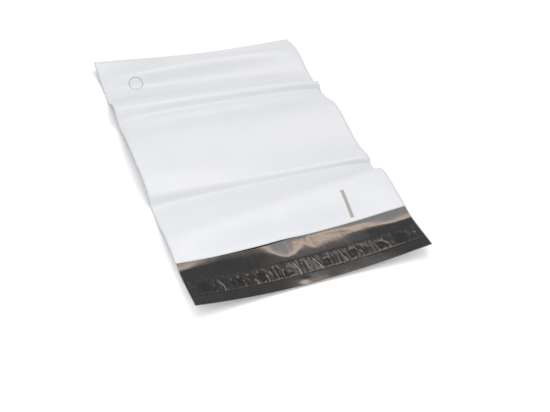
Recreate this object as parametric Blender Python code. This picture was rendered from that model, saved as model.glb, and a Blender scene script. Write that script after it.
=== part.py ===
"""An empty film mailing bag lying face up on a table, its flap open and its film waved by storage.

Everything is cut flat from plain blocks and then draped. In the flat state u runs across the bag, 0 at its
left edge and 1 at its right, and s runs along the film from the mouth, positive to the bottom fold and
negative to the flap's edge. Metres, +Z up, the flap towards -Y.
"""

import bmesh
import bpy
import numpy as np

BAG_WIDTH = 0.250
BAG_LENGTH = 0.350
FLAP_LENGTH = 0.060
FILM = 0.00006
POCKET_GAP = 0.0003
SIDE_WELD = 0.002

# The adhesive's place is set from the flap's edge, so that the margin that a finger lifts stays bare.
ADHESIVE_FROM_FLAP_EDGE = 0.015
ADHESIVE_WIDTH = 0.017
ADHESIVE_THICKNESS = 0.0001
ADHESIVE_END_MARGIN = 0.003
LINER_OVERLAP = 0.002
LINER_THICKNESS = 0.00005
LINER_END_MARGIN = 0.0015
LAYER_GAP = 0.0003

# Air held between the panels, and the lip of the mouth that stands a little open. Its highest place is given
# from the left edge.
AIR_THICKNESS = 0.0009
MOUTH_LIFT = 0.0017
MOUTH_LIFT_REACH = 0.030
MOUTH_LIFT_AT = 0.0925
MOUTH_LIFT_SPREAD = 0.0325

# The gathers of the liner: their usual spacing, how far and how often that wanders, and the tallest.
GATHER_PITCH = 0.0078
GATHER_WANDER = 0.0021
GATHER_WANDER_PITCH = 0.043
GATHER_HEIGHT = 0.0008

# The lines that the film's waves follow, from the flap's edge to the bottom fold: where each crosses the left
# and the right edge, as a share of the flap (-1 to 0) or of the body (0 to 1), and how high the film lies
# there at the left, in the middle and at the right, as a share of the tallest wave.
WAVE_HEIGHT = 0.0155
REST_FROM_SHARE = 0.226
REST_TO_SHARE = 0.246
WAVE_LINES = (
    (-1.000, -1.000, 0.90, 0.07, 0.84),  # flap's edge, its corners curling up
    (0.000, -0.133, 0.42, 0.19, 0.55),  # mouth
    (0.086, 0.151, 0.48, 0.81, 1.00),  # ridge behind the mouth, tall at the right
    (REST_FROM_SHARE, REST_FROM_SHARE, 0.00, 0.00, 0.00),  # first valley, flat on the table
    (REST_TO_SHARE, REST_TO_SHARE, 0.00, 0.00, 0.00),
    (0.289, 0.274, 0.55, 0.39, 0.39),
    (0.371, 0.354, 0.87, 0.45, 0.16),
    (0.531, 0.529, 0.77, 0.65, 0.71),  # broad ridge
    (0.640, 0.657, 0.35, 0.13, 0.00),  # crease, deepest at the right
    (0.703, 0.694, 0.97, 0.71, 0.48),  # ridge, tall at the left
    (0.817, 0.729, 0.00, 0.00, 0.00),  # second valley, flat on the table
    (0.854, 0.766, 0.00, 0.00, 0.00),
    (0.914, 0.914, 0.16, 0.61, 0.55),  # low ridge
    (1.000, 1.000, 0.68, 0.07, 0.16),  # bottom fold, its left corner curling up
)
STEEPEST_PLAN_SHARE = 0.3  # the least plan length that a piece of film keeps on its steepest slope

FILM_STEP = 0.0063
FILM_COLUMNS = 13
STRIP_STEP = 0.0021
STRIP_ROWS = 5

FILM_COLOUR = (0.84, 0.86, 0.88, 1.0)
ADHESIVE_COLOUR = (0.07, 0.065, 0.06, 1.0)
LINER_COLOUR = (0.30, 0.29, 0.28, 1.0)

HALF_WIDTH = BAG_WIDTH / 2
BODY_THICKNESS = 2 * FILM + POCKET_GAP
ADHESIVE_ENDS = HALF_WIDTH - ADHESIVE_END_MARGIN
ADHESIVE_START = -FLAP_LENGTH + ADHESIVE_FROM_FLAP_EDGE
ADHESIVE_MIDDLE = ADHESIVE_START + ADHESIVE_WIDTH / 2
ADHESIVE_UNDERSIDE = FILM + LAYER_GAP
LINER_ENDS = HALF_WIDTH - LINER_END_MARGIN
LINER_HALF = ADHESIVE_WIDTH / 2 + LINER_OVERLAP
LINER_UNDERSIDE = ADHESIVE_UNDERSIDE + ADHESIVE_THICKNESS + LAYER_GAP


def on_film(share):
    """Metres along the film for a share of the flap, below 0, or of the body, above it."""
    return share * np.where(share < 0, FLAP_LENGTH, BAG_LENGTH)


def wave_height(u, s):
    """Height of the film's underside at one u and many s, level across each ridge and valley line."""
    lines = np.array(WAVE_LINES)
    at = on_film(lines[:, 0]) * (1 - u) + on_film(lines[:, 1]) * u
    left, middle, right = WAVE_HEIGHT * lines[:, 2:].T
    height = left * (1 - u) * (1 - 2 * u) + middle * 4 * u * (1 - u) + right * u * (2 * u - 1)
    step = np.diff(at)
    rise = np.diff(height) / step
    slope = np.concatenate([rise[:1], np.zeros(len(rise) - 1), rise[-1:]])
    same_way = rise[:-1] * rise[1:] > 0
    slope[1:-1][same_way] = 2 / (1 / rise[:-1][same_way] + 1 / rise[1:][same_way])
    i = np.clip(np.searchsorted(at, s) - 1, 0, len(step) - 1)
    t = (s - at[i]) / step[i]
    ends = (1 + 2 * t) * (1 - t) ** 2 * height[i] + t**2 * (3 - 2 * t) * height[i + 1]
    return ends + t * (1 - t) * step[i] * ((1 - t) * slope[i] - t * slope[i + 1])


def plan_steps(length, rise):
    """Plan lengths of pieces of film of one length whose ends differ in height by rise."""
    return np.sqrt(np.maximum(length**2 - rise**2, (STEEPEST_PLAN_SHARE * length) ** 2))


def draped_film(columns=65, rows=4101):
    """Place and normal of the film's underside on a fine grid of u and s, its lengths kept along both."""
    s = np.linspace(-FLAP_LENGTH, BAG_LENGTH, rows)
    z = np.array([wave_height(u, s) for u in np.linspace(0, 1, columns)])
    along = plan_steps(s[1] - s[0], np.diff(z, axis=1))
    across = plan_steps(BAG_WIDTH / (columns - 1), np.diff(z, axis=0))
    y = np.pad(np.cumsum(along, axis=1), ((0, 0), (1, 0)))
    x = np.pad(np.cumsum(across, axis=0), ((1, 0), (0, 0)))
    y -= [[np.interp(0, s, row)] for row in y]
    x -= x[columns // 2]
    place = np.stack([x, y, z], axis=-1)
    normal = np.cross(np.gradient(place, axis=0), np.gradient(place, axis=1))
    normal /= np.linalg.norm(normal, axis=-1, keepdims=True)
    return place, normal


def on_grid(field, u, s):
    """The field's value at each (u, s), between its four nearest grid points."""
    i = u * (field.shape[0] - 1)
    j = (s + FLAP_LENGTH) / (BAG_LENGTH + FLAP_LENGTH) * (field.shape[1] - 1)
    i0 = np.clip(i.astype(int), 0, field.shape[0] - 2)
    j0 = np.clip(j.astype(int), 0, field.shape[1] - 2)
    a = (i - i0)[:, None]
    b = (j - j0)[:, None]
    near = field[i0, j0] * (1 - b) + field[i0, j0 + 1] * b
    far = field[i0 + 1, j0] * (1 - b) + field[i0 + 1, j0 + 1] * b
    return near * (1 - a) + far * a


def front_lift(u, s, h):
    """The front panel closes on the back one at the welded edges, and holds a little air between them."""
    inside = np.clip((u * BAG_WIDTH - SIDE_WELD) / (BAG_WIDTH - 2 * SIDE_WELD), 0, 1)
    belly = 4 * inside * (1 - inside)
    air = AIR_THICKNESS * belly * (1 - (np.clip(s, 0, None) / BAG_LENGTH) ** 6)
    lip = np.exp(-(((u * BAG_WIDTH - MOUTH_LIFT_AT) / MOUTH_LIFT_SPREAD) ** 2))
    lip = lip * np.clip(1 - s / MOUTH_LIFT_REACH, 0, None) ** 2
    lift = air + MOUTH_LIFT * lip * np.clip(2 * belly, 0, 1)
    welded = np.abs(u - 0.5) * BAG_WIDTH > HALF_WIDTH - SIDE_WELD / 2
    return np.where(h > BODY_THICKNESS / 2, np.where(welded, -POCKET_GAP, lift), 0)


def gather_lift(u, s, h):
    """Uneven gathers across the liner, lowest along its two long edges."""
    x = u * BAG_WIDTH
    wander = GATHER_WANDER * np.sin(2 * np.pi * x / GATHER_WANDER_PITCH)
    lean = 0.15 * (s - ADHESIVE_MIDDLE)
    fold = np.sin(np.pi * (x + wander + lean) / GATHER_PITCH) ** 4
    size = 0.6 + 0.4 * np.sin(2 * np.pi * x / (3.3 * GATHER_PITCH) + 1.0)
    edge = 1 - 0.7 * np.clip(np.abs(s - ADHESIVE_MIDDLE) / LINER_HALF, 0, 1) ** 2
    return GATHER_HEIGHT * fold * size * edge


def no_lift(u, s, h):
    return np.zeros(len(h))


def block(name, low, high, collection):
    """A plain block of the flat state, from one corner to the other: across, along the film, and up."""
    low = np.array(low)
    high = np.array(high)
    bm = bmesh.new()
    bmesh.ops.create_cube(bm, size=1)
    bmesh.ops.scale(bm, vec=high - low, verts=bm.verts)
    bmesh.ops.translate(bm, vec=(low + high) / 2, verts=bm.verts)
    mesh = bpy.data.meshes.new(name)
    bm.to_mesh(mesh)
    bm.free()
    obj = bpy.data.objects.new(name, mesh)
    collection.objects.link(obj)
    return obj


def cut_away(obj, cutter):
    modifier = obj.modifiers.new(cutter.name, "BOOLEAN")
    modifier.operation = "DIFFERENCE"
    modifier.solver = "EXACT"
    modifier.object = cutter
    cutter.hide_render = True
    cutter.display_type = "WIRE"


def places_between(start, end, count):
    return np.linspace(start, end, count + 1)[1:-1]


def slice_up(bm, axis, places):
    """Adds an edge loop at each place along the axis, so that the flat piece can bend there."""
    normal = np.eye(3)[axis]
    for place in places:
        everything = bm.verts[:] + bm.edges[:] + bm.faces[:]
        bmesh.ops.bisect_plane(bm, geom=everything, dist=1e-7, plane_co=normal * place, plane_no=normal)


def split_alike(bm):
    """Splits each four-sided face from its lowest corner to its highest, so that both faces of the film bend
    along the same diagonals and its thickness stays even."""
    for face in [f for f in bm.faces if len(f.verts) == 4]:
        corners = sorted(face.verts, key=lambda vertex: sum(vertex.co))
        bmesh.utils.face_split(face, corners[0], corners[-1])
    bmesh.ops.triangulate(bm, faces=bm.faces[:])


def drape(obj, across, along, lift, film):
    """Makes the cuts final, slices the flat piece, and lays each of its vertices on the waved film."""
    graph = bpy.context.evaluated_depsgraph_get()
    flat = bpy.data.meshes.new_from_object(obj.evaluated_get(graph))
    obj.modifiers.clear()
    bm = bmesh.new()
    bm.from_mesh(flat)
    bpy.data.meshes.remove(flat)
    slice_up(bm, 0, across)
    slice_up(bm, 1, along)
    # A slice that falls on the line of a cut leaves no sliver beside it.
    bmesh.ops.remove_doubles(bm, verts=bm.verts[:], dist=0.01 * FILM)
    split_alike(bm)
    x, s, h = np.array([v.co[:] for v in bm.verts]).T
    u = np.clip(x / BAG_WIDTH + 0.5, 0, 1)
    place, normal = film
    laid = on_grid(place, u, s) + on_grid(normal, u, s) * (h + lift(u, s, h))[:, None]
    for vertex, co in zip(bm.verts, laid):
        vertex.co = co
    bmesh.ops.recalc_face_normals(bm, faces=bm.faces)
    bm.to_mesh(obj.data)
    bm.free()
    obj.data.shade_smooth()


def colour(obj, name, base, roughness):
    material = bpy.data.materials.new(name)
    material.use_nodes = True
    shader = material.node_tree.nodes["Principled BSDF"]
    shader.inputs["Base Color"].default_value = base
    shader.inputs["Roughness"].default_value = roughness
    obj.data.materials.clear()
    obj.data.materials.append(material)


def make_bag(film, parts, cutters):
    """The film web: a back panel that runs on into the flap, a front panel, and the pocket between them."""
    clear = 0.1 * FLAP_LENGTH
    inside = HALF_WIDTH - SIDE_WELD
    bag = block("bag_film", (-HALF_WIDTH, -FLAP_LENGTH, 0), (HALF_WIDTH, BAG_LENGTH, BODY_THICKNESS), parts)
    above_flap = block(
        "above_flap",
        (-HALF_WIDTH - clear, -FLAP_LENGTH - clear, FILM),
        (HALF_WIDTH + clear, 0, BODY_THICKNESS + clear),
        cutters,
    )
    pocket = block(
        "pocket",
        (-inside, -clear, FILM),
        (inside, BAG_LENGTH - FILM, FILM + POCKET_GAP),
        cutters,
    )
    cut_away(bag, above_flap)
    cut_away(bag, pocket)
    across = np.concatenate([[-inside], places_between(-inside, inside, FILM_COLUMNS), [inside]])
    along = np.concatenate(
        [
            places_between(-FLAP_LENGTH, 0, round(FLAP_LENGTH / FILM_STEP)),
            places_between(0, BAG_LENGTH, round(BAG_LENGTH / FILM_STEP)),
            on_film(np.array([REST_FROM_SHARE, REST_TO_SHARE])),
            [0, BAG_LENGTH - FILM],
        ]
    )
    drape(bag, across, along, front_lift, film)
    return bag


def make_strip(name, ends, middle, half, underside, thickness, columns, rows, lift, film, parts):
    """A strip across the flap, laid over the film."""
    low = (-ends, middle - half, underside)
    high = (ends, middle + half, underside + thickness)
    strip = block(name, low, high, parts)
    across = places_between(-ends, ends, columns)
    along = places_between(middle - half, middle + half, rows)
    drape(strip, across, along, lift, film)
    return strip


def main():
    for obj in list(bpy.data.objects):
        bpy.data.objects.remove(obj, do_unlink=True)
    parts = bpy.data.collections.new("poly_mailer_bag")
    cutters = bpy.data.collections.new("cutters")
    bpy.context.scene.collection.children.link(parts)
    bpy.context.scene.collection.children.link(cutters)

    film = draped_film()
    bag = make_bag(film, parts, cutters)
    adhesive = make_strip(
        "adhesive_strip",
        ADHESIVE_ENDS,
        ADHESIVE_MIDDLE,
        ADHESIVE_WIDTH / 2,
        ADHESIVE_UNDERSIDE,
        ADHESIVE_THICKNESS,
        2 * FILM_COLUMNS,
        STRIP_ROWS - 2,
        no_lift,
        film,
        parts,
    )
    liner = make_strip(
        "release_liner",
        LINER_ENDS,
        ADHESIVE_MIDDLE,
        LINER_HALF,
        LINER_UNDERSIDE,
        LINER_THICKNESS,
        round(2 * LINER_ENDS / STRIP_STEP),
        STRIP_ROWS,
        gather_lift,
        film,
        parts,
    )

    corners = np.array([v.co[:] for v in bag.data.vertices])
    middle = (corners.min(axis=0) + corners.max(axis=0)) / 2
    for obj in (bag, adhesive, liner):
        obj.location = (-middle[0], -middle[1], 0)

    colour(bag, "white_film", FILM_COLOUR, 0.45)
    colour(adhesive, "adhesive", ADHESIVE_COLOUR, 0.35)
    colour(liner, "clear_liner", LINER_COLOUR, 0.2)


main()
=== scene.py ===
import math

import bpy
import numpy as np
from mathutils import Matrix, Vector


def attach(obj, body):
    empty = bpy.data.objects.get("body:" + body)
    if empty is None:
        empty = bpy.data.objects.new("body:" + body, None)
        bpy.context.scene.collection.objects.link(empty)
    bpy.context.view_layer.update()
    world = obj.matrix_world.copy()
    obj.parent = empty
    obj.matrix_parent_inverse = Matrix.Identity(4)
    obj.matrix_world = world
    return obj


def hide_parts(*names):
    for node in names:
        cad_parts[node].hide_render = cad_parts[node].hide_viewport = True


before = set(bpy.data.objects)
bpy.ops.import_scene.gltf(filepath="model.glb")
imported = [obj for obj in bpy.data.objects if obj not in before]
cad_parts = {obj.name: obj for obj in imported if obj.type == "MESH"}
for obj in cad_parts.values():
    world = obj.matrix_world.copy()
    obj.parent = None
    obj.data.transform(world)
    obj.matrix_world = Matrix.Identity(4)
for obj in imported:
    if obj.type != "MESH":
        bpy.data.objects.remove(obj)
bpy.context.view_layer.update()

# Sizes are in metres. u runs across the bag, 0 at the left edge and 1 at the right. s runs along the film
# from the mouth, positive to the bottom fold and negative to the flap's edge.

# The bag's flat sizes and its wave lines, as in the CAD model.
BAG_WIDTH = 0.250
BAG_LENGTH = 0.350
FLAP_LENGTH = 0.060
FILM = 0.00006
POCKET_GAP = 0.0003
SIDE_WELD = 0.002
ADHESIVE_MIDDLE = -0.0365
ADHESIVE_HALF = 0.0085
ADHESIVE_ENDS = 0.122
LINER_HALF = 0.0105
LINER_ENDS = 0.1235
AIR_THICKNESS = 0.0009
MOUTH_LIFT = 0.0009
MOUTH_LIFT_REACH = 0.030
MOUTH_LIFT_AT = 0.0925
MOUTH_LIFT_SPREAD = 0.0325
WAVE_HEIGHT = 0.0155
# Where each wave line crosses the left and the right edge, as a share of the bag's length or, below 0, of the
# flap's. Then its height at the left, in the middle and at the right, as a share of the wave height.
WAVE_LINES = (
    (-1.000, -1.000, 0.90, 0.07, 0.84),
    (0.000, -0.133, 0.42, 0.19, 0.55),
    (0.086, 0.151, 0.48, 0.81, 1.00),
    (0.226, 0.226, 0.00, 0.00, 0.00),
    (0.246, 0.246, 0.00, 0.00, 0.00),
    (0.289, 0.274, 0.55, 0.39, 0.39),
    (0.371, 0.354, 0.87, 0.45, 0.16),
    (0.531, 0.529, 0.77, 0.65, 0.71),
    (0.640, 0.657, 0.35, 0.13, 0.00),
    (0.703, 0.694, 0.97, 0.71, 0.48),
    (0.817, 0.729, 0.00, 0.00, 0.00),
    (0.854, 0.766, 0.00, 0.00, 0.00),
    (0.914, 0.914, 0.16, 0.61, 0.55),
    (1.000, 1.000, 0.68, 0.07, 0.16),
)

# How the front panel lies on the back one. It reaches a little past the mouth line, and it parts from the
# back panel within short reaches from the bottom fold, the mouth and the welds. At the mouth, a share of the
# pocket's gap is left and a share of the air is lost.
FRONT_OVERHANG = 0.0009
LEAST_GAP = 0.00002
FOLD_REACH = 0.004
MOUTH_REACH = 0.02
WELD_REACH = 0.004
GAP_AT_MOUTH = 0.3
AIR_LOST_AT_MOUTH = 0.85
RELIEF_ROOM = 0.0004

# Swells of the front panel, where air holds it off the back one: where each crosses the left and the right
# edge, how far it reaches along the film, and its height at the left, in the middle and at the right.
SWELLS = (
    (0.067, 0.079, 0.0160, 0.0026, 0.0050, 0.0038),
    (0.221, 0.226, 0.0125, 0.0036, 0.0046, 0.0032),
    (0.270, 0.258, 0.0140, 0.0024, 0.0044, 0.0030),
    (0.316, 0.312, 0.0120, 0.0032, 0.0034, 0.0026),
)
SWELL_EDGE = 0.013
SWELL_FROM_MOUTH = 0.010

# Creases pressed into the front panel: where each crosses the film at seven places from left to right, its
# depth, and how far it reaches along the film.
CREASES_AT = (0.0, 0.15, 0.30, 0.47, 0.63, 0.80, 1.0)
CREASES = (
    ((0.0800, 0.0800, 0.0796, 0.0790, 0.0740, 0.0690, 0.0650), 0.00030, 0.0020),
    ((0.2200, 0.2180, 0.2150, 0.2110, 0.2080, 0.2060, 0.2040), 0.00022, 0.0030),
    ((0.2560, 0.2560, 0.2550, 0.2540, 0.2530, 0.2520, 0.2500), 0.00016, 0.0040),
)
# Layers of smooth noise: the height, the pitches across and along the film, and the seed of each.
UNEVEN_PANEL = ((0.00016, 0.045, 0.030, 3), (0.00006, 0.018, 0.014, 5))
WELD_PUCKERS = ((0.00025, 0.02, 0.007, 9),)
WELD_PUCKER_REACH = 0.007
UNEVEN_FLAP = ((0.000022, 0.011, 0.008, 43),)
FLAP_RIPPLES = ((0.000011, 0.0075, 0.0050, 41), (0.000010, 0.0026, 0.0022, 42))

# The flap bends up towards the mouth: places across the bag, how steeply it rises there, and how far from the
# mouth the bend begins. Behind the mouth the lift dies away.
BENDS = (
    (0.000, 0.160, 0.0125),
    (0.040, 0.145, 0.0105),
    (0.090, 0.096, 0.0085),
    (0.140, 0.052, 0.0075),
    (0.220, 0.028, 0.0085),
    (0.340, 0.020, 0.0095),
    (0.370, 0.036, 0.0110),
    (0.410, 0.066, 0.0180),
    (0.440, 0.074, 0.0215),
    (0.475, 0.080, 0.0190),
    (0.505, 0.076, 0.0140),
    (0.530, 0.060, 0.0100),
    (0.560, 0.020, 0.0190),
    (0.620, 0.024, 0.0165),
    (0.700, 0.028, 0.0145),
    (0.780, 0.056, 0.0140),
    (0.850, 0.095, 0.0140),
    (0.920, 0.115, 0.0165),
    (1.000, 0.115, 0.0170),
)
BEND_WIDTH = 0.0011
BEND_BEHIND = 0.045
# The change in steepness close to the mouth, across the bag.
LIP_SLOPES = ((0.51, 0.0), (0.56, -0.012), (0.64, -0.020), (0.74, 0.010), (0.85, 0.030))
LIP_FROM = 0.0065
LIP_WIDTH = 0.0012
# The right half of the flap turns up towards its edge.
EDGE_SLOPE = 0.026
EDGE_FROM = 0.026
EDGE_WIDTH = 0.003
# Dents and ridges of the flap: each one's place (u, s), its reach across and along, and its height.
DENTS = (
    (0.430, -0.0090, 0.0060, 0.0050, -0.00003),
    (0.453, -0.0060, 0.0016, 0.0060, 0.00006),
    (0.455, -0.0530, 0.0060, 0.0036, 0.00015),
)
# The place of the ripples (u, s), and their reach across and along.
RIPPLES = (0.62, -0.009, 0.040, 0.011)

# The glue and the liner over it: the middle of the glue above the film, and how much higher the liner is held
# away from its long edges.
GLUE_LIFT = 0.00012
GLUE_THICKNESS = 0.0001
UNEVEN_GLUE = ((0.00003, 0.004, 0.005, 31),)
LINER_THICKNESS = 0.00005
LINER_LIFT = 0.00011
UNEVEN_LINER = ((0.00010, 0.006, 0.010, 25),)
LINER_EDGE = 0.0022
# Places across the bag where the liner sticks flat to the glue, and the noise of their outlines.
PATCHES = (0.068, 0.202, 0.254, 0.300, 0.366, 0.412, 0.486, 0.575, 0.628, 0.690, 0.745, 0.815, 0.905)
PATCH_WOBBLE_U = ((0.0016, 0.006, 0.005, 51), (0.0007, 0.0020, 0.0025, 52))
PATCH_WOBBLE_S = ((0.0016, 0.007, 0.006, 53), (0.0006, 0.0018, 0.0030, 54))
# Sharp folds in the liner, each from one place (u, s) to another, and its height.
FOLDS = (
    (0.446, -0.0290, 0.457, -0.0490, 0.00055),
    (0.528, -0.0295, 0.548, -0.0485, 0.00055),
    (0.542, -0.0390, 0.553, -0.0480, 0.00035),
    (0.128, -0.0290, 0.149, -0.0475, 0.00036),
    (0.178, -0.0285, 0.203, -0.0430, 0.00022),
    (0.240, -0.0330, 0.252, -0.0440, 0.00018),
    (0.338, -0.0285, 0.346, -0.0430, 0.00018),
    (0.380, -0.0280, 0.392, -0.0440, 0.00020),
    (0.430, -0.0280, 0.436, -0.0360, 0.00024),
    (0.495, -0.0290, 0.520, -0.0430, 0.00022),
    (0.660, -0.0280, 0.672, -0.0430, 0.00016),
    (0.865, -0.0370, 0.872, -0.0470, 0.00020),
)
FOLD_WIDTH = 0.00045
FOLD_SWAY = 0.0005
GATHER_HEIGHT = 0.00036
FINE_GATHER_HEIGHT = 0.00007
TINY_GATHER_HEIGHT = 0.00002

# Rows and columns of the meshes. Beside the welds the film's columns stand closer together.
FLAP_ROWS = 71
BACK_ROWS = 61
FRONT_ROWS = 199
WELD_COLUMNS = (0, 0.0005, 0.001, 0.0015, 0.002, 0.0026, 0.0035)
EVEN_COLUMNS = 137
EVEN_FROM = 0.005
LINER_GRID = (841, 29)
GLUE_GRID = (241, 19)

# Printed marks on the front panel: across the bag, and down from the mouth.
BAR_LEFT, BAR_RIGHT = 0.1893, 0.1932
BAR_FROM, BAR_TO = 0.0042, 0.0388
BAR_LEAN = -0.05
BAR_BROWN = (0.318, 0.281, 0.255, 1)
RING_ACROSS, RING_DOWN = 0.0395, 0.3030
RING_INNER, RING_OUTER = 0.0076, 0.0083
DARK_GREY = (0.16, 0.165, 0.175, 1)

# The camera, fitted to the photograph, with its angles in degrees and its focal length in the photograph's
# pixels. It looks at a place on the floor a little behind the mouth.
PHOTO_WIDTH = 550
FOCAL_LENGTH = 858.24
AZIMUTH, ELEVATION, ROLL = -25.298, 44.860, 5.26
DISTANCE = 0.9004
TARGET_ACROSS, TARGET_BEHIND_MOUTH = -0.001, 0.0507
SENSOR_WIDTH = 36

# The place that the light panels aim at, how far off they stand, and the floor under the bag.
FLAP_PLACE = (0, -0.185, 0)
PANEL_DISTANCE = 2.6
BAG_FRONT = (0, -0.05, 0)
FLOOR_SIZE = 8
FLOOR_DROP = 0.0002


def ease(x):
    """Smooth step of a value between 0 and 1."""
    return x * x * (3 - 2 * x)


def bump(x):
    return np.exp(-x * x)


def soft_ramp(x, width):
    """0 below 0 and x above it, with a round corner."""
    return width * np.logaddexp(0, x / width)


def across(u, left, middle, right):
    """The curve over the bag's width through three heights."""
    return left * (1 - u) * (1 - 2 * u) + middle * 4 * u * (1 - u) + right * u * (2 * u - 1)


def from_side(u):
    """The distance from the nearer side of the bag."""
    return np.minimum(u, 1 - u) * BAG_WIDTH


def smooth_noise(u, s, pitch_u, pitch_s, seed):
    """Smooth noise from -1 to 1 over the flat film, its bumps about as long as the two pitches."""
    rng = np.random.default_rng(seed)
    nu = int(BAG_WIDTH / pitch_u) + 3
    ns = int((BAG_LENGTH + FLAP_LENGTH) / pitch_s) + 3
    values = rng.uniform(-1, 1, (nu, ns))
    x = u * BAG_WIDTH / pitch_u
    y = (s + FLAP_LENGTH) / pitch_s
    i, j = np.floor(x).astype(int), np.floor(y).astype(int)
    a, b = ease(x - i), ease(y - j)
    i, j = np.clip(i, 0, nu - 2), np.clip(j, 0, ns - 2)
    low = values[i, j] * (1 - b) + values[i, j + 1] * b
    high = values[i + 1, j] * (1 - b) + values[i + 1, j + 1] * b
    return low * (1 - a) + high * a


def uneven(u, s, layers):
    """The sum of layers of smooth noise, each with its height, pitches and seed."""
    return sum(height * smooth_noise(u, s, *pitches_and_seed) for height, *pitches_and_seed in layers)


# The waved film.
def on_film(share):
    return share * np.where(share < 0, FLAP_LENGTH, BAG_LENGTH)


def wave_height(u, s):
    """The height of the film's underside: a smooth curve that doesn't overshoot the wave lines."""
    lines = np.array(WAVE_LINES)
    at = on_film(lines[:, 0]) * (1 - u) + on_film(lines[:, 1]) * u
    height = across(u, *(WAVE_HEIGHT * lines[:, 2:].T))
    step = np.diff(at)
    rise = np.diff(height) / step
    slope = np.concatenate([rise[:1], np.zeros(len(rise) - 1), rise[-1:]])
    same_way = rise[:-1] * rise[1:] > 0
    slope[1:-1][same_way] = 2 / (1 / rise[:-1][same_way] + 1 / rise[1:][same_way])
    i = np.clip(np.searchsorted(at, s) - 1, 0, len(step) - 1)
    t = (s - at[i]) / step[i]
    ends = (1 + 2 * t) * (1 - t) ** 2 * height[i] + t**2 * (3 - 2 * t) * height[i + 1]
    return ends + t * (1 - t) * step[i] * ((1 - t) * slope[i] - t * slope[i + 1])


def draped_film(columns=161, rows=2051):
    """The places and normals of the film's underside, whose plan is shortened by what the waves take up."""
    s = np.linspace(-FLAP_LENGTH, BAG_LENGTH, rows)
    z = np.array([wave_height(u, s) for u in np.linspace(0, 1, columns)])
    along = np.sqrt(np.maximum((s[1] - s[0]) ** 2 - np.diff(z, axis=1) ** 2, 1e-12))
    sideways = np.sqrt((BAG_WIDTH / (columns - 1)) ** 2 - np.diff(z, axis=0) ** 2)
    y = np.pad(np.cumsum(along, axis=1), ((0, 0), (1, 0)))
    x = np.pad(np.cumsum(sideways, axis=0), ((1, 0), (0, 0)))
    y -= [[np.interp(0, s, row)] for row in y]
    x -= x[columns // 2]
    place = np.stack([x, y, z], axis=-1)
    normal = np.cross(np.gradient(place, axis=0), np.gradient(place, axis=1))
    normal /= np.linalg.norm(normal, axis=-1, keepdims=True)
    return place, normal


PLACE, NORMAL = draped_film()
MOUTH_Y = -(PLACE[..., 1].min() + PLACE[..., 1].max()) / 2
PLACE[..., 1] += MOUTH_Y


def on_grid(field, u, s):
    i = u * (field.shape[0] - 1)
    j = (s + FLAP_LENGTH) / (BAG_LENGTH + FLAP_LENGTH) * (field.shape[1] - 1)
    i0 = np.clip(i.astype(int), 0, field.shape[0] - 2)
    j0 = np.clip(j.astype(int), 0, field.shape[1] - 2)
    a = (i - i0)[..., None]
    b = (j - j0)[..., None]
    near = field[i0, j0] * (1 - b) + field[i0, j0 + 1] * b
    far = field[i0 + 1, j0] * (1 - b) + field[i0 + 1, j0 + 1] * b
    return near * (1 - a) + far * a


def lay(u, s, h):
    """The point h above the underside of the film at (u, s)."""
    return on_grid(PLACE, u, s) + on_grid(NORMAL, u, s) * h[..., None]


# The forms that lie on the waves.
def swell(u, s):
    lift = np.zeros(np.shape(u))
    for left_at, right_at, reach, left, middle, right in SWELLS:
        lift = lift + across(u, left, middle, right) * bump((s - left_at * (1 - u) - right_at * u) / reach)
    held = np.minimum(s / SWELL_FROM_MOUTH, (BAG_LENGTH - s) / SWELL_EDGE)
    from_weld = np.clip(from_side(u) - SIDE_WELD, 0, None)
    return lift * np.clip(held, 0, 1) * (1 - np.exp(-from_weld / SWELL_EDGE))


def front_lift(u, s):
    """The air between the panels, and the slight lift of the front panel's edge at the mouth."""
    inside = np.clip((u * BAG_WIDTH - SIDE_WELD) / (BAG_WIDTH - 2 * SIDE_WELD), 0, 1)
    belly = 4 * inside * (1 - inside)
    air = AIR_THICKNESS * belly * (1 - (np.clip(s, 0, None) / BAG_LENGTH) ** 6)
    air = air * (1 - AIR_LOST_AT_MOUTH * np.exp(-np.clip(s, 0, None) / MOUTH_REACH))
    lip = bump((u * BAG_WIDTH - MOUTH_LIFT_AT) / MOUTH_LIFT_SPREAD)
    lip = lip * np.clip(1 - s / MOUTH_LIFT_REACH, 0, None) ** 2
    return air + MOUTH_LIFT * lip * np.clip(2 * belly, 0, 1)


def front_relief(u, s):
    """Creases, dents and the puckers beside the welds, off the film's even waves."""
    lift = uneven(u, s, UNEVEN_PANEL)
    lift = lift + np.exp(-from_side(u) / WELD_PUCKER_REACH) * uneven(u, s, WELD_PUCKERS)
    for at, depth, reach in CREASES:
        along = s - np.interp(u, CREASES_AT, at)
        lift = lift - depth * np.exp(-np.abs(along) / reach) * (1 + 0.4 * smooth_noise(u, s, 0.03, 0.03, 11))
    return lift


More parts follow.
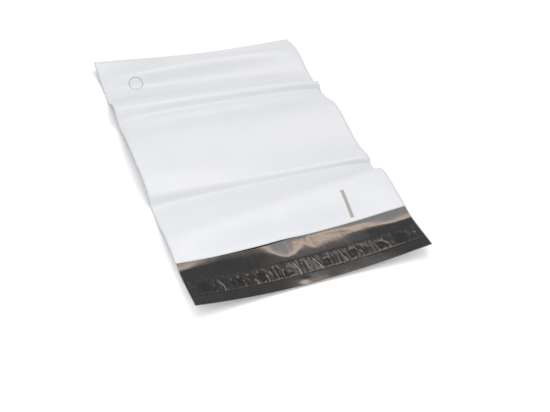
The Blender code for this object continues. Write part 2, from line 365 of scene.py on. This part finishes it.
def bend(u, s):
    """Lift of both panels and the flap where the flap bends up towards the mouth, with its dents."""
    places, slopes, starts = np.array(BENDS).T
    on_flap = np.minimum(s, 0)
    lift = np.interp(u, places, slopes) * soft_ramp(on_flap + np.interp(u, places, starts), BEND_WIDTH)
    places, slopes = np.array(LIP_SLOPES).T
    lift = lift + np.interp(u, places, slopes) * soft_ramp(on_flap + LIP_FROM, LIP_WIDTH)
    right_half = np.clip((u - 0.44) / 0.12, 0, 1) * np.clip((1 - u) / 0.08, 0, 1)
    lift = lift + EDGE_SLOPE * right_half * soft_ramp(-s - EDGE_FROM, EDGE_WIDTH)
    for at_u, at_s, reach_u, reach_s, height in DENTS:
        lift = lift + height * bump((u - at_u) * BAG_WIDTH / reach_u) * bump((s - at_s) / reach_s)
    at_u, at_s, reach_u, reach_s = RIPPLES
    rippled = bump((u - at_u) * BAG_WIDTH / reach_u) * bump((s - at_s) / reach_s)
    lift = lift + rippled * uneven(u, s, FLAP_RIPPLES)
    lift = lift + uneven(u, s, UNEVEN_FLAP) * np.clip(-s / 0.01, 0, 1)
    return lift * (1 - ease(np.clip(np.maximum(s, 0) / BEND_BEHIND, 0, 1)))


def vary(k, middle, swing, pace, start=0.0):
    """A value for the k-th of a row, which swings evenly about its middle."""
    return middle + swing * math.sin(pace * k + start)


def patches(u, s):
    """1 where the liner sticks flat to the glue, 0 where air keeps it off."""
    wobble_u = uneven(u, s, PATCH_WOBBLE_U)
    wobble_s = uneven(u, s, PATCH_WOBBLE_S)
    stuck = np.zeros_like(u)
    for k, at in enumerate(PATCHES):
        middle = vary(k, ADHESIVE_MIDDLE - 0.0012, 0.0012, 2.3)
        half_u = vary(k, 0.0048, 0.0013, 1.7, 0.5)
        half_s = vary(k, 0.0060, 0.0014, 3.1, 1.0)
        du = np.abs((u - at) * BAG_WIDTH + wobble_u) / half_u
        ds = np.abs(s - middle + wobble_s) / half_s
        reach = (du**4 + ds**4) ** 0.25
        stuck = np.maximum(stuck, np.clip((1.25 - reach) / 0.50, 0, 1) * vary(k, 0.78, 0.22, 2.9))
    return stuck


def folds(u, s):
    """1 along the crests of the liner's sharp folds, where a highlight is painted, and their height."""
    crest_highlight, height = np.zeros_like(u), np.zeros_like(u)
    for u0, s0, u1, s1, size in FOLDS:
        t = (s - s0) / (s1 - s0)
        sideways = (u - (u0 + (u1 - u0) * t)) * BAG_WIDTH + FOLD_SWAY * np.sin(9 * t)
        ends = np.clip(4 * t * (1 - t) * 2.2, 0, 1)
        shape = np.exp(-np.abs(sideways) / FOLD_WIDTH) * ends
        crest_highlight = np.maximum(crest_highlight, shape * min(size / 0.00045, 1))
        height = np.maximum(height, shape * size)
    return crest_highlight, height


def gathers(u, s):
    edge = 1 - 0.6 * np.clip(np.abs(s - ADHESIVE_MIDDLE) / LINER_HALF, 0, 1) ** 4
    loose = 1 - 0.85 * patches(u, s)
    tall = 1 - np.abs(smooth_noise(u, s, 0.0042, 0.016, 21))
    thin = 1 - np.abs(smooth_noise(u, s, 0.0017, 0.009, 22))
    tiny = smooth_noise(u, s, 0.0009, 0.005, 23)
    rise = GATHER_HEIGHT * tall**3 + FINE_GATHER_HEIGHT * thin**2 + TINY_GATHER_HEIGHT * tiny
    return (rise * loose + folds(u, s)[1]) * edge


# The pieces.
def grid_mesh(name, points, uv, flip=False):
    """A smooth sheet from a rows by columns array of points, with its flat coordinates in metres as UVs."""
    rows, columns = points.shape[:2]
    index = np.arange(rows * columns).reshape(rows, columns)
    quads = np.stack([index[:-1, :-1], index[:-1, 1:], index[1:, 1:], index[1:, :-1]], axis=-1).reshape(-1, 4)
    if flip:
        quads = quads[:, ::-1]
    mesh = bpy.data.meshes.new(name)
    mesh.from_pydata(points.reshape(-1, 3).tolist(), [], quads.tolist())
    layer = mesh.uv_layers.new(name="flat")
    layer.data.foreach_set("uv", uv.reshape(-1, 2)[quads.reshape(-1)].ravel().astype(np.float32))
    mesh.shade_smooth()
    obj = bpy.data.objects.new(name, mesh)
    bpy.context.scene.collection.objects.link(obj)
    return obj


def solidify(obj, thickness, inner_slot=0):
    """Give a sheet its thickness, half to each side, with the material of one slot on its inner face."""
    modifier = obj.modifiers.new("thickness", "SOLIDIFY")
    modifier.thickness = thickness
    modifier.offset = 0
    modifier.material_offset = inner_slot
    modifier.material_offset_rim = 0
    modifier.use_even_offset = False


def column_places():
    at_weld = np.array(WELD_COLUMNS) / BAG_WIDTH
    even = np.linspace(EVEN_FROM, BAG_WIDTH - EVEN_FROM, EVEN_COLUMNS) / BAG_WIDTH
    return np.concatenate([at_weld, even, 1 - at_weld[::-1]])


def make_film():
    """Both panels and the flap as one sheet, from the flap's edge round the bottom fold to the mouth."""
    u = column_places()
    back_rows = np.linspace(0, BAG_LENGTH, BACK_ROWS)[1:]
    back = np.concatenate([np.linspace(-FLAP_LENGTH, 0, FLAP_ROWS), back_rows])
    front = np.linspace(BAG_LENGTH, -FRONT_OVERHANG, FRONT_ROWS)
    off_weld = ease(np.clip(from_side(u) / SIDE_WELD, 0, 1))
    bu, bs = np.meshgrid(u, back)
    back_points = lay(bu, bs, FILM / 2 + bend(bu, bs))
    fu, fs = np.meshgrid(u, front)
    off_fold = np.clip((BAG_LENGTH - fs) / FOLD_REACH, 0, 1)
    off_mouth = np.clip(GAP_AT_MOUTH + fs / MOUTH_REACH, 0, 1)
    gap = (POCKET_GAP - LEAST_GAP) * off_weld * off_fold * off_mouth + LEAST_GAP
    relief = np.maximum(front_relief(fu, fs) + RELIEF_ROOM, 0) * off_fold * np.clip(fs / MOUTH_REACH, 0, 1)
    above = 1.5 * FILM + gap + (front_lift(fu, fs) + relief) * off_weld
    front_points = lay(fu, fs, above + bend(fu, fs))
    front_points[..., 2] += swell(fu, fs)
    # Beside the welds the front panel follows the back one's straight steps, so that neither comes through.
    k = np.clip(np.searchsorted(back, front) - 1, 0, len(back) - 2)
    t = ((front - back[k]) / (back[k + 1] - back[k]))[:, None, None]
    steps = back_points[k] * (1 - t) + back_points[k + 1] * t
    inward = np.clip((from_side(u) - SIDE_WELD) / WELD_REACH, 0, 1)[:, None]
    front_points += (steps - lay(fu, fs, FILM / 2 + bend(fu, fs))) * (1 - ease(inward))
    points = np.concatenate([back_points, front_points])
    web = np.concatenate([bs, 2 * BAG_LENGTH - fs])
    uv = np.stack([np.concatenate([bu, fu]) * BAG_WIDTH, web], axis=-1)
    film = grid_mesh("film_web", points, uv, flip=True)
    solidify(film, FILM, inner_slot=1)
    return film


def strip_grid(half_width, half_length, grid):
    """u and s over a strip across the flap, about the middle of the adhesive."""
    u = 0.5 + np.linspace(-half_width, half_width, grid[0]) / BAG_WIDTH
    s = np.linspace(ADHESIVE_MIDDLE - half_length, ADHESIVE_MIDDLE + half_length, grid[1])
    return np.meshgrid(u, s)


def make_adhesive():
    u, s = strip_grid(ADHESIVE_ENDS, ADHESIVE_HALF, GLUE_GRID)
    points = lay(u, s, FILM + GLUE_LIFT + bend(u, s) + uneven(u, s, UNEVEN_GLUE))
    strip = grid_mesh("glue_strip", points, np.stack([u * BAG_WIDTH, s], axis=-1))
    solidify(strip, GLUE_THICKNESS)
    return strip


def make_liner():
    u, s = strip_grid(LINER_ENDS, LINER_HALF, LINER_GRID)
    inside = np.clip((LINER_HALF - np.abs(s - ADHESIVE_MIDDLE)) / LINER_EDGE, 0, 1)
    held = (LINER_LIFT + uneven(u, s, UNEVEN_LINER)) * ease(inside)
    points = lay(u, s, FILM + GLUE_LIFT + held + bend(u, s) + gathers(u, s))
    liner = grid_mesh("clear_liner", points, np.stack([u * BAG_WIDTH, s], axis=-1))
    stuck, crest_highlight = patches(u, s), folds(u, s)[0]
    values = np.stack([stuck, crest_highlight, np.zeros_like(stuck), np.ones_like(stuck)], axis=-1)
    stuck_and_highlight = liner.data.color_attributes.new("stuck_and_highlight", "FLOAT_COLOR", "POINT")
    stuck_and_highlight.data.foreach_set("color", values.reshape(-1).astype(np.float32))
    solidify(liner, LINER_THICKNESS)
    return liner


# The materials.
class FilmShader:
    """A material laid out over the flat film, and short calls that add nodes to it."""

    def __init__(self, name):
        self.material = bpy.data.materials.new(name)
        self.material.use_nodes = True
        self.tree = self.material.node_tree
        self.bsdf = self.tree.nodes["Principled BSDF"]
        self.uv = self.add("ShaderNodeUVMap", uv_map="flat").outputs[0]

    def put(self, socket, value):
        """Link a node's output to a socket, or set the socket to a constant."""
        if isinstance(value, bpy.types.NodeSocket):
            self.tree.links.new(value, socket)
        else:
            socket.default_value = value

    def add(self, kind, inputs=(), **settings):
        node = self.tree.nodes.new(kind)
        for key, value in settings.items():
            setattr(node, key, value)
        for key, value in dict(inputs).items():
            self.put(node.inputs[key], value)
        return node

    def place(self):
        """The places across the bag and along its web, in metres."""
        split = self.add("ShaderNodeSeparateXYZ", {"Vector": self.uv})
        return split.outputs[0], split.outputs[1]

    def maths(self, operation, *values):
        return self.add("ShaderNodeMath", enumerate(values), operation=operation).outputs[0]

    def plus(self, first, second):
        return self.maths("ADD", first, second)

    def minus(self, first, second):
        return self.maths("SUBTRACT", first, second)

    def times(self, first, second):
        return self.maths("MULTIPLY", first, second)

    def least(self, first, second):
        return self.maths("MINIMUM", first, second)

    def step(self, value, low, high, to_low=0.0, to_high=1.0):
        """Smooth step from to_low, where the value is low, to to_high."""
        inputs = {"Value": value, "From Min": low, "From Max": high, "To Min": to_low, "To Max": to_high}
        return self.add("ShaderNodeMapRange", inputs, interpolation_type="SMOOTHSTEP", clamp=True).outputs[0]

    def band(self, value, low, high, soft):
        """1 between low and high, with soft edges."""
        rises = self.step(value, low - soft, low + soft)
        return self.times(rises, self.step(value, high - soft, high + soft, 1.0, 0.0))

    def noise(self, pitch_u, pitch_s, detail=2.0, roughness=0.5, shift=0.0):
        """Noise from about 0 to 1 whose marks are as long as the two pitches, in metres."""
        inputs = {0: self.uv, 1: (1 / pitch_u, 1 / pitch_s, 1)}
        place = self.add("ShaderNodeVectorMath", inputs, operation="MULTIPLY").outputs[0]
        inputs = {0: place, 1: (shift, shift, shift)}
        place = self.add("ShaderNodeVectorMath", inputs, operation="ADD").outputs[0]
        inputs = {"Vector": place, "Scale": 1.0, "Detail": detail, "Roughness": roughness}
        return self.add("ShaderNodeTexNoise", inputs).outputs["Fac"]

    def mix(self, factor, first, second):
        return self.add("ShaderNodeMix", {0: factor, 6: first, 7: second}, data_type="RGBA").outputs[2]

    def finish(self, base, rough, height, distance):
        """Put the base colour, the roughness and a bump of the given height on the film."""
        self.put(self.bsdf.inputs["Base Color"], base)
        self.put(self.bsdf.inputs["Roughness"], rough)
        bumps = self.add("ShaderNodeBump", {"Height": height, "Distance": distance, "Strength": 1.0})
        self.put(self.bsdf.inputs["Normal"], bumps.outputs[0])
        return self.material


def printed(skin, x, down, base):
    """The bar near the mouth and the ring near the bottom fold, in slightly worn ink."""
    ink = skin.step(skin.noise(0.0006, 0.0010, detail=3.0, roughness=0.7, shift=19.0), 0.22, 0.42, 0.72, 1.0)
    bar = skin.times(
        skin.band(skin.plus(x, skin.times(down, BAR_LEAN)), BAR_LEFT, BAR_RIGHT, 0.00012),
        skin.band(down, BAR_FROM, BAR_TO, 0.00015),
    )
    dx = skin.minus(x, RING_ACROSS)
    dy = skin.minus(down, RING_DOWN)
    radius = skin.maths("SQRT", skin.plus(skin.maths("POWER", dx, 2.0), skin.maths("POWER", dy, 2.0)))
    ring = skin.band(radius, RING_INNER, RING_OUTER, 0.00015)
    base = skin.mix(skin.times(bar, ink), base, BAR_BROWN)
    return skin.mix(skin.times(skin.times(ring, ink), 0.85), base, DARK_GREY)


def white_film():
    skin = FilmShader("white_satin_film")
    x, web = skin.place()
    cloud = skin.noise(0.045, 0.060, detail=3.0)
    streak = skin.noise(0.0035, 0.140, shift=3.0)
    grain = skin.noise(0.0011, 0.0011, shift=7.0)
    scuff = skin.noise(0.012, 0.003, detail=4.0, roughness=0.65, shift=11.0)
    tone = skin.plus(skin.times(cloud, 0.85), skin.times(streak, 0.15))
    base = skin.mix(skin.step(tone, 0.25, 0.75), (0.609, 0.627, 0.658, 1), (0.628, 0.645, 0.674, 1))
    base = skin.mix(skin.step(scuff, 0.62, 0.80, 0.0, 0.35), base, (0.564, 0.579, 0.605, 1))
    # At the mouth, the front panel's web is at twice the bag's length.
    base = printed(skin, x, skin.minus(2 * BAG_LENGTH, web), base)
    # The weld is pressed flat and smooth, and is a little greyer where the black inside shows through.
    edge = skin.least(x, skin.minus(BAG_WIDTH, x))
    weld = skin.step(edge, SIDE_WELD - 0.0002, SIDE_WELD + 0.0002, 1.0, 0.0)
    weld = skin.times(weld, skin.step(web, 0.0, 0.0005))
    base = skin.mix(skin.times(weld, 0.30), base, (0.545, 0.56, 0.585, 1))
    # A thin dark grey line along the side edges is painted shade at the edge.
    base = skin.mix(skin.step(edge, 0.00025, 0.00055, 0.65, 0.0), base, DARK_GREY)
    rough = skin.step(skin.plus(cloud, skin.times(scuff, 0.6)), 0.6, 1.0, 0.36, 0.50)
    rough = skin.minus(rough, skin.times(weld, 0.14))
    height = skin.plus(skin.times(grain, 0.35), skin.times(streak, 0.12))
    height = skin.plus(height, skin.times(scuff, 0.30))
    height = skin.minus(height, skin.times(weld, 1.4))
    return skin.finish(base, rough, height, 0.00006)


def black_film():
    skin = FilmShader("black_gloss_film")
    x, web = skin.place()
    cloud = skin.noise(0.020, 0.030, detail=3.0, shift=2.0)
    streak = skin.noise(0.0030, 0.050, detail=3.0, shift=5.0)
    ripple = skin.noise(0.0040, 0.0028, detail=3.0, roughness=0.55, shift=9.0)
    grain = skin.noise(0.0007, 0.0007, shift=13.0)
    scratch = skin.step(skin.noise(0.0100, 0.0006, detail=3.0, roughness=0.6, shift=17.0), 0.68, 0.80)
    base = skin.mix(skin.step(cloud, 0.30, 0.70), (0.0056, 0.0051, 0.0047, 1), (0.0090, 0.0083, 0.0078, 1))
    base = skin.mix(skin.times(scratch, 0.25), base, (0.07, 0.068, 0.065, 1))
    # A short tan line beside the mouth is a painted reflection of the warm light.
    tan_line_sway = skin.noise(0.0060, 0.0050, shift=23.0)
    line = skin.plus(x, skin.times(web, 0.10))
    line = skin.plus(line, skin.times(tan_line_sway, 0.0022))
    painted_tan_reflection = skin.band(line, 0.11285, 0.11325, 0.00045)
    painted_tan_reflection = skin.times(painted_tan_reflection, skin.band(web, -0.0185, -0.0005, 0.0015))
    base = skin.mix(skin.times(painted_tan_reflection, 0.40), base, (0.36, 0.29, 0.24, 1))
    # The cut edges are paler: partly the film's white layer at the cut, partly a painted highlight along the
    # edge.
    edge = skin.least(x, skin.minus(BAG_WIDTH, x))
    edge = skin.least(edge, skin.plus(web, FLAP_LENGTH))
    pale_cut_and_glint = skin.step(edge, 0.0005, 0.0008, 1.0, 0.0)
    base = skin.mix(skin.times(pale_cut_and_glint, 0.75), base, (0.42, 0.42, 0.42, 1))
    # The left part of the flap is rubbed duller along the mouth.
    rough = skin.step(skin.plus(cloud, skin.times(streak, 0.5)), 0.5, 1.0, 0.07, 0.13)
    rough = skin.plus(rough, skin.times(scratch, 0.15))
    rubbed = skin.times(skin.step(web, -0.014, 0.0), skin.step(x, 0.080, 0.105, 0.07, 0.0))
    rough = skin.plus(rough, rubbed)
    height = skin.plus(skin.times(streak, 0.5), skin.times(ripple, 0.7))
    height = skin.plus(height, skin.times(grain, 0.06))
    return skin.finish(base, rough, height, 0.00004)


def liner_film():
    """Clear film over black: dark where it sticks to the glue, hazy where loose, with painted highlights."""
    skin = FilmShader("clear_gathered_liner")
    stuck_and_highlight = skin.add("ShaderNodeVertexColor", layer_name="stuck_and_highlight")
    split = skin.add("ShaderNodeSeparateColor", {"Color": stuck_and_highlight.outputs[0]})
    stuck, crest_highlight = split.outputs[0], split.outputs[1]
    hair = skin.noise(0.0014, 0.0090, detail=3.0, shift=1.0)
    streak = skin.noise(0.0026, 0.0160, detail=3.0, roughness=0.55, shift=4.0)
    cloud = skin.noise(0.0120, 0.0120, shift=8.0)
    haze_and_glint_streaks = skin.step(skin.noise(0.0006, 0.0110, detail=3.0, roughness=0.6, shift=21.0), 0.60, 0.72)
    loose = skin.minus(1.0, skin.times(stuck, 0.92))
    haze = skin.step(skin.plus(skin.times(hair, 0.45), skin.times(streak, 0.55)), 0.38, 0.74)
    haze = skin.times(skin.times(haze, loose), skin.step(cloud, 0.25, 0.75, 0.45, 1.15))
    base = skin.mix(loose, (0.0045, 0.0042, 0.0040, 1), (0.008, 0.0077, 0.0074, 1))
    base = skin.mix(haze, base, (0.046, 0.045, 0.044, 1))
    # Pale streaks on the loose liner: partly its haze, partly a painted reflection along the wrinkles.
    base = skin.mix(skin.times(haze_and_glint_streaks, skin.times(loose, 0.3)), base, (0.15, 0.145, 0.135, 1))
    # A painted highlight along the crests of the sharp folds.
    base = skin.mix(skin.step(crest_highlight, 0.25, 0.85, 0.0, 0.85), base, (0.46, 0.42, 0.37, 1))
    rough = skin.plus(0.12, skin.times(loose, 0.07))
    skin.bsdf.inputs["Specular IOR Level"].default_value = 0.30
    height = skin.times(skin.plus(skin.times(hair, 0.5), streak), loose)
    return skin.finish(base, rough, height, 0.00014)


def glue():
    skin = FilmShader("hot_melt_glue")
    blot = skin.noise(0.0050, 0.0050, detail=3.0, shift=6.0)
    fine = skin.noise(0.0012, 0.0020, detail=3.0, shift=14.0)
    base = skin.mix(skin.step(blot, 0.35, 0.65), (0.014, 0.012, 0.010, 1), (0.026, 0.023, 0.019, 1))
    rough = skin.step(fine, 0.3, 0.7, 0.18, 0.36)
    return skin.finish(base, rough, skin.plus(blot, skin.times(fine, 0.4)), 0.0002)


# The bag.
film = make_film()
film.data.materials.append(white_film())
film.data.materials.append(black_film())
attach(film, "root")
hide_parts("bag_film")

strip = make_adhesive()
strip.data.materials.append(glue())
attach(strip, "root")
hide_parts("adhesive_strip")

liner = make_liner()
liner.data.materials.append(liner_film())
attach(liner, "root")
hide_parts("release_liner")


# The floor, the light and the camera.
def make_floor():
    bpy.ops.mesh.primitive_plane_add(size=FLOOR_SIZE, location=(0, 0, -FLOOR_DROP))
    floor = bpy.context.object
    floor.name = "floor"
    material = bpy.data.materials.new("pale_floor")
    material.use_nodes = True
    bsdf = material.node_tree.nodes["Principled BSDF"]
    bsdf.inputs["Base Color"].default_value = (0.95, 0.95, 0.95, 1)
    bsdf.inputs["Roughness"].default_value = 0.9
    floor.data.materials.append(material)


def area(name, place, aim, size, radiance, colour=(1, 1, 1)):
    """A soft light that aims at a place and that the camera doesn't see."""
    data = bpy.data.lights.new(name, "AREA")
    data.shape = "RECTANGLE"
    data.size, data.size_y = size
    data.energy = radiance * math.pi * size[0] * size[1]
    data.color = colour
    light = bpy.data.objects.new(name, data)
    light.location = place
    light.rotation_euler = (Vector(aim) - Vector(place)).to_track_quat("-Z", "Y").to_euler()
    light.visible_camera = False
    bpy.context.scene.collection.objects.link(light)


def panel(name, azimuth, elevation, width, height, radiance, colour=(1, 1, 1)):
    """A soft panel seen from the flap in one direction, its size in degrees; azimuth 0 is behind the bag."""
    a, e = math.radians(azimuth), math.radians(elevation)
    ray = (math.sin(a) * math.cos(e), math.cos(a) * math.cos(e), math.sin(e))
    place = [start + PANEL_DISTANCE * part for start, part in zip(FLAP_PLACE, ray)]
    size = [2 * PANEL_DISTANCE * math.tan(math.radians(angle / 2)) for angle in (width, height)]
    area(name, place, FLAP_PLACE, size, radiance, colour)


def make_light():
    """Panels behind the bag that the glossy flap reflects, two lights in front, and a pale world."""
    panel("back_softbox", 29, 64.75, 52, 14.5, 3.8)
    panel("warm_rim", 25.0, 55.6, 23, 4.0, 10.5, (1, 0.77, 0.62))
    panel("low_back", 28, 52.0, 34, 4.4, 0.95)
    area("front_near", (-0.3, -0.2, 0.4), BAG_FRONT, (0.3, 0.3), 1.8)
    area("front_low", (0.3, -0.7, 0.3), BAG_FRONT, (0.3, 0.3), 2.3)
    world = bpy.data.worlds.new("studio")
    world.use_nodes = True
    background = world.node_tree.nodes["Background"]
    background.inputs["Color"].default_value = (1, 1, 1, 1)
    background.inputs["Strength"].default_value = 0.76
    bpy.context.scene.world = world
    bpy.context.scene.view_settings.view_transform = "Standard"


def make_camera():
    a, e, r = np.radians([AZIMUTH, ELEVATION, ROLL])
    back = np.array([math.sin(a) * math.cos(e), -math.cos(a) * math.cos(e), math.sin(e)])
    right = np.cross(-back, [0, 0, 1])
    right /= np.linalg.norm(right)
    up = np.cross(right, -back)
    right, up = math.cos(r) * right + math.sin(r) * up, -math.sin(r) * right + math.cos(r) * up
    place = np.array([TARGET_ACROSS, TARGET_BEHIND_MOUTH + MOUTH_Y, 0.0]) + DISTANCE * back
    matrix = Matrix.Identity(4)
    for row in range(3):
        matrix[row] = (right[row], up[row], back[row], place[row])
    data = bpy.data.cameras.new("camera")
    data.sensor_width = SENSOR_WIDTH
    data.lens = SENSOR_WIDTH * FOCAL_LENGTH / PHOTO_WIDTH
    camera = bpy.data.objects.new("camera", data)
    camera.matrix_world = matrix
    bpy.context.scene.collection.objects.link(camera)
    bpy.context.scene.camera = camera


make_floor()
make_light()
make_camera()
